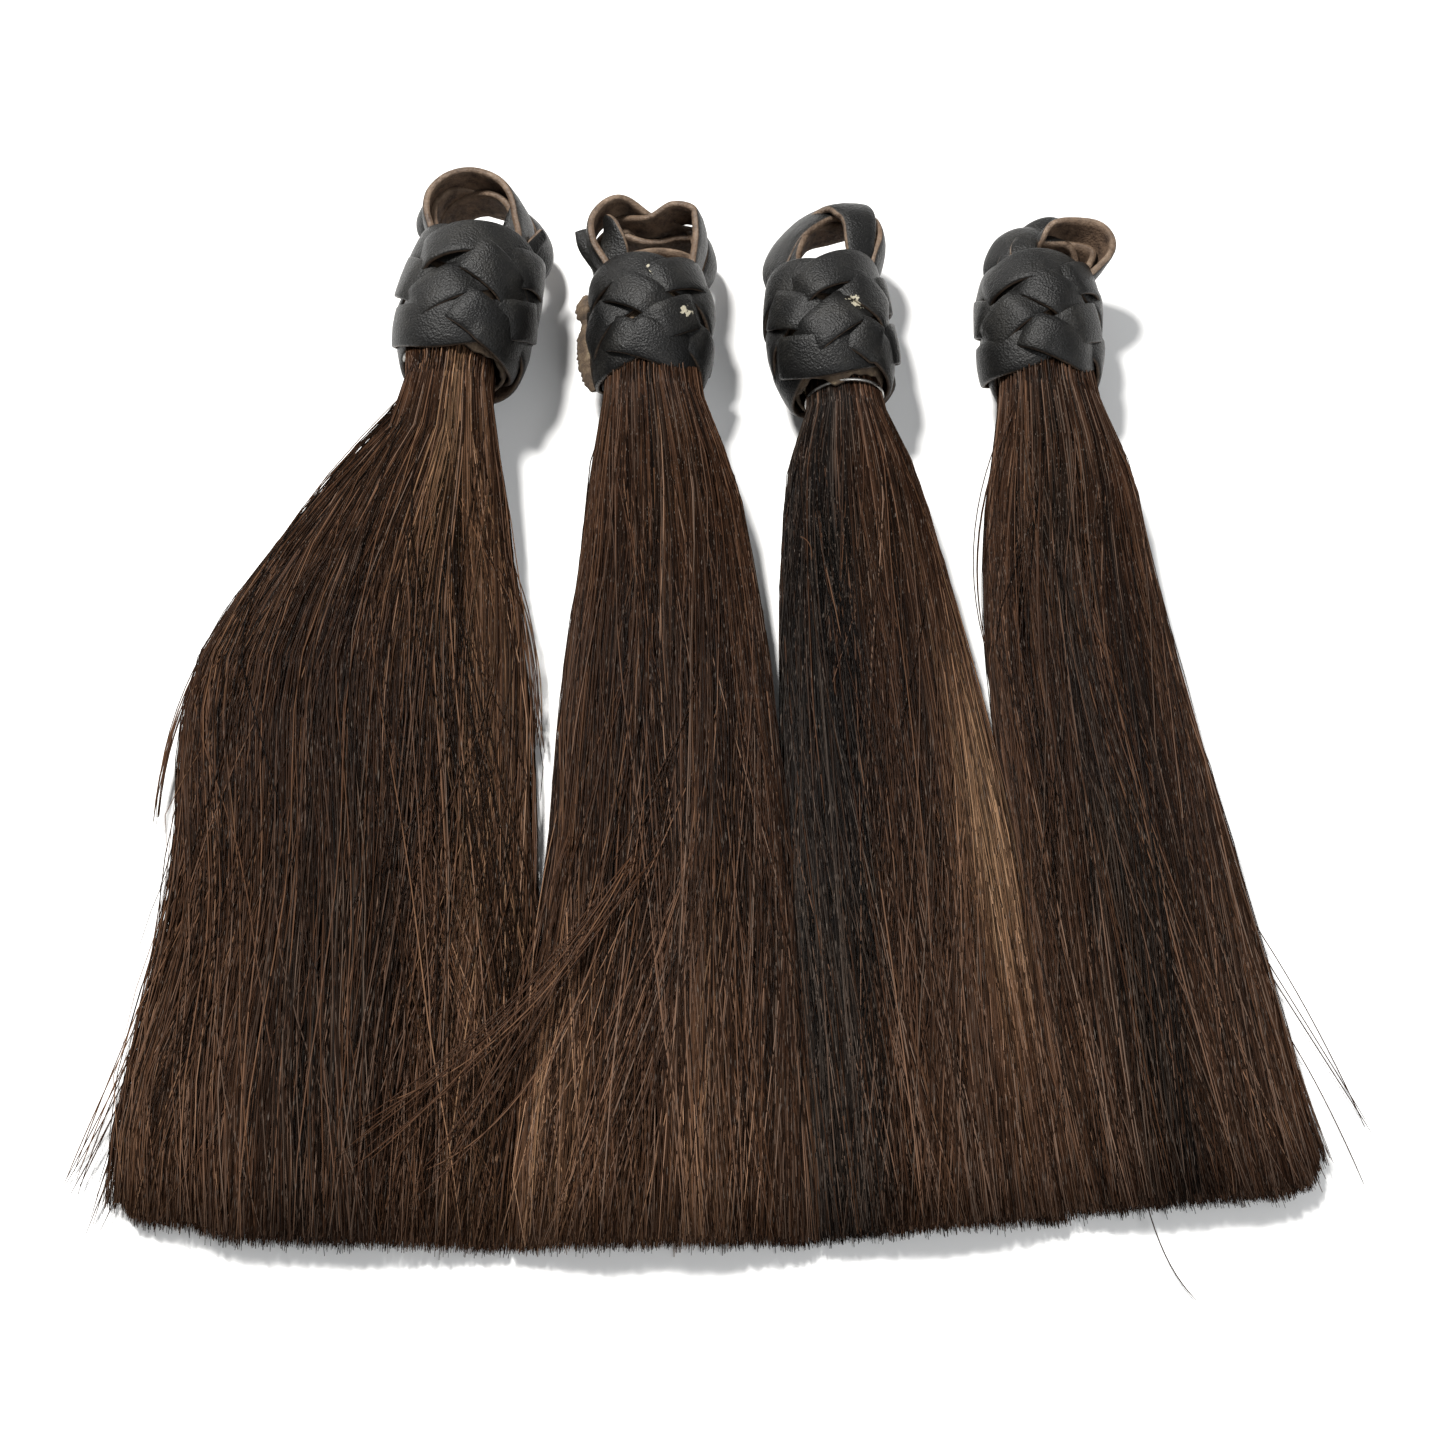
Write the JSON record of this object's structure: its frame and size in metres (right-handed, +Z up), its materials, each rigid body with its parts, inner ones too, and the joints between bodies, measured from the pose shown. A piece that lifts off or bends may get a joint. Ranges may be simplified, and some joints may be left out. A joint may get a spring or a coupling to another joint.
{
  "type": "horsehair tassel set",
  "caption": "Set of horsehair tassels with plaited black leather heads and hanging loops, laid side by side as a fanned row of brown and black hair.",
  "frame": {"origin": "on the surface that the set lies on, under the centre of its bounding box", "axes": "+X to the right across the row, +Y from the hair tips towards the loops, +Z up from the surface"},
  "size_m": [0.26, 0.2616, 0.0356],
  "materials": {
    "black_leather": "black chrome-tanned thong, grain side out, worn semi-matt, with tan flesh side and cut edges",
    "natural_leather": "undyed lining leather, rough brown flesh side out",
    "core_wood": "turned plug, raw",
    "waxed_cord": "waxed linen whipping",
    "wire": "dull bare wire with a bright worn glint",
    "hair_dark_brown": "horsehair, dark brown, glossy strands with reddish edges",
    "hair_black_brown": "horsehair, near-black brown, glossy strands",
    "hair_chestnut": "horsehair, warm chestnut with orange-brown tips",
    "hair_black": "horsehair, cool black, glossy strands",
    "hair_golden_brown": "horsehair, golden brown streak"
  },
  "bodies": {
    "tassel1_head": {"tassel1_head_core": "core_wood", "tassel1_inner_sleeve": "natural_leather", "tassel1_knot_thong": "black_leather", "tassel1_hair_root": "hair_dark_brown", "tassel1_binding_cord": "waxed_cord", "tassel1_neck_ring": "wire"},
    "tassel1_loop": {"tassel1_loop_root": "black_leather", "tassel1_loop_thong_a": "black_leather", "tassel1_loop_thong_b": "black_leather", "tassel1_loop_thong_c": "black_leather"},
    "tassel1_hair": {"tassel1_hair_hank_1": "hair_dark_brown", "tassel1_hair_hank_2": "hair_dark_brown", "tassel1_hair_hank_3": "hair_black_brown", "tassel1_hair_hank_4": "hair_dark_brown"},
    "tassel2_head": {"tassel2_head_core": "core_wood", "tassel2_inner_sleeve": "natural_leather", "tassel2_knot_thong": "black_leather", "tassel2_hair_root": "hair_dark_brown", "tassel2_binding_cord": "waxed_cord", "tassel2_neck_ring": "wire", "tassel2_lining_flap": "natural_leather"},
    "tassel2_loop": {"tassel2_loop_root": "black_leather", "tassel2_loop_thong_a": "black_leather", "tassel2_loop_thong_b": "black_leather", "tassel2_loop_thong_c": "black_leather"},
    "tassel2_hair": {"tassel2_hair_hank_1": "hair_chestnut", "tassel2_hair_hank_2": "hair_chestnut", "tassel2_hair_hank_3": "hair_chestnut", "tassel2_hair_hank_4": "hair_dark_brown"},
    "tassel3_head": {"tassel3_head_core": "core_wood", "tassel3_inner_sleeve": "natural_leather", "tassel3_knot_thong": "black_leather", "tassel3_hair_root": "hair_dark_brown", "tassel3_binding_cord": "waxed_cord", "tassel3_neck_ring": "wire"},
    "tassel3_loop": {"tassel3_loop_root": "black_leather", "tassel3_loop_thong_a": "black_leather", "tassel3_loop_thong_b": "black_leather", "tassel3_loop_thong_c": "black_leather"},
    "tassel3_hair": {"tassel3_hair_hank_1": "hair_black", "tassel3_hair_hank_2": "hair_black", "tassel3_hair_hank_3": "hair_dark_brown", "tassel3_hair_hank_4": "hair_dark_brown", "tassel3_hair_hank_5": "hair_golden_brown"},
    "tassel4_head": {"tassel4_head_core": "core_wood", "tassel4_inner_sleeve": "natural_leather", "tassel4_knot_thong": "black_leather", "tassel4_hair_root": "hair_dark_brown", "tassel4_binding_cord": "waxed_cord", "tassel4_neck_ring": "wire"},
    "tassel4_loop": {"tassel4_loop_root": "black_leather", "tassel4_loop_thong_a": "black_leather", "tassel4_loop_thong_b": "black_leather", "tassel4_loop_thong_c": "black_leather"},
    "tassel4_hair": {"tassel4_hair_hank_1": "hair_dark_brown", "tassel4_hair_hank_2": "hair_black", "tassel4_hair_hank_3": "hair_dark_brown", "tassel4_hair_hank_4": "hair_dark_brown"}
  },
  "joints": [
    {"name": "tassel1_lift", "type": "slide", "parent": "tassel2_head", "child": "tassel1_head", "axis": [0, 0, 1], "range_m": [0, 0.06]},
    {"name": "tassel1_loop_flex", "type": "hinge", "parent": "tassel1_head", "child": "tassel1_loop", "pos_m": [-0.05996, 0.11133, 0.0178], "axis": [0.9903, -0.1392, 0], "range_deg": [-15, 15], "stiffness_Nm_per_rad": 0.03},
    {"name": "tassel1_hair_swing", "type": "hinge", "parent": "tassel1_head", "child": "tassel1_hair", "pos_m": [-0.06735, 0.07328, 0.0278], "axis": [-1, 0, 0], "range_deg": [0, 75]},
    {"name": "tassel2_loop_flex", "type": "hinge", "parent": "tassel2_head", "child": "tassel2_loop", "pos_m": [-0.0175, 0.10485, 0.0159], "axis": [1, 0, 0], "range_deg": [-15, 15], "stiffness_Nm_per_rad": 0.03},
    {"name": "tassel2_hair_swing", "type": "hinge", "parent": "tassel2_head", "child": "tassel2_hair", "pos_m": [-0.0169, 0.07135, 0.0259], "axis": [-1, 0, 0], "range_deg": [0, 75]},
    {"name": "tassel3_lift", "type": "slide", "parent": "tassel2_head", "child": "tassel3_head", "axis": [0, 0, 1], "range_m": [0, 0.06]},
    {"name": "tassel3_loop_flex", "type": "hinge", "parent": "tassel3_head", "child": "tassel3_loop", "pos_m": [0.02485, 0.10416, 0.0162], "axis": [0.9945, 0.1045, 0], "range_deg": [-15, 15], "stiffness_Nm_per_rad": 0.03},
    {"name": "tassel3_hair_swing", "type": "hinge", "parent": "tassel3_head", "child": "tassel3_hair", "pos_m": [0.02962, 0.06792, 0.025], "axis": [-1, 0, 0], "range_deg": [0, 75]},
    {"name": "tassel4_lift", "type": "slide", "parent": "tassel2_head", "child": "tassel4_head", "axis": [0, 0, 1], "range_m": [0, 0.06]},
    {"name": "tassel4_loop_flex", "type": "hinge", "parent": "tassel4_head", "child": "tassel4_loop", "pos_m": [0.0774, 0.10525, 0.016], "axis": [1, 0, 0], "range_deg": [-15, 15], "stiffness_Nm_per_rad": 0.03},
    {"name": "tassel4_hair_swing", "type": "hinge", "parent": "tassel4_head", "child": "tassel4_hair", "pos_m": [0.0782, 0.07075, 0.0258], "axis": [-1, 0, 0], "range_deg": [0, 75]}
  ]
}
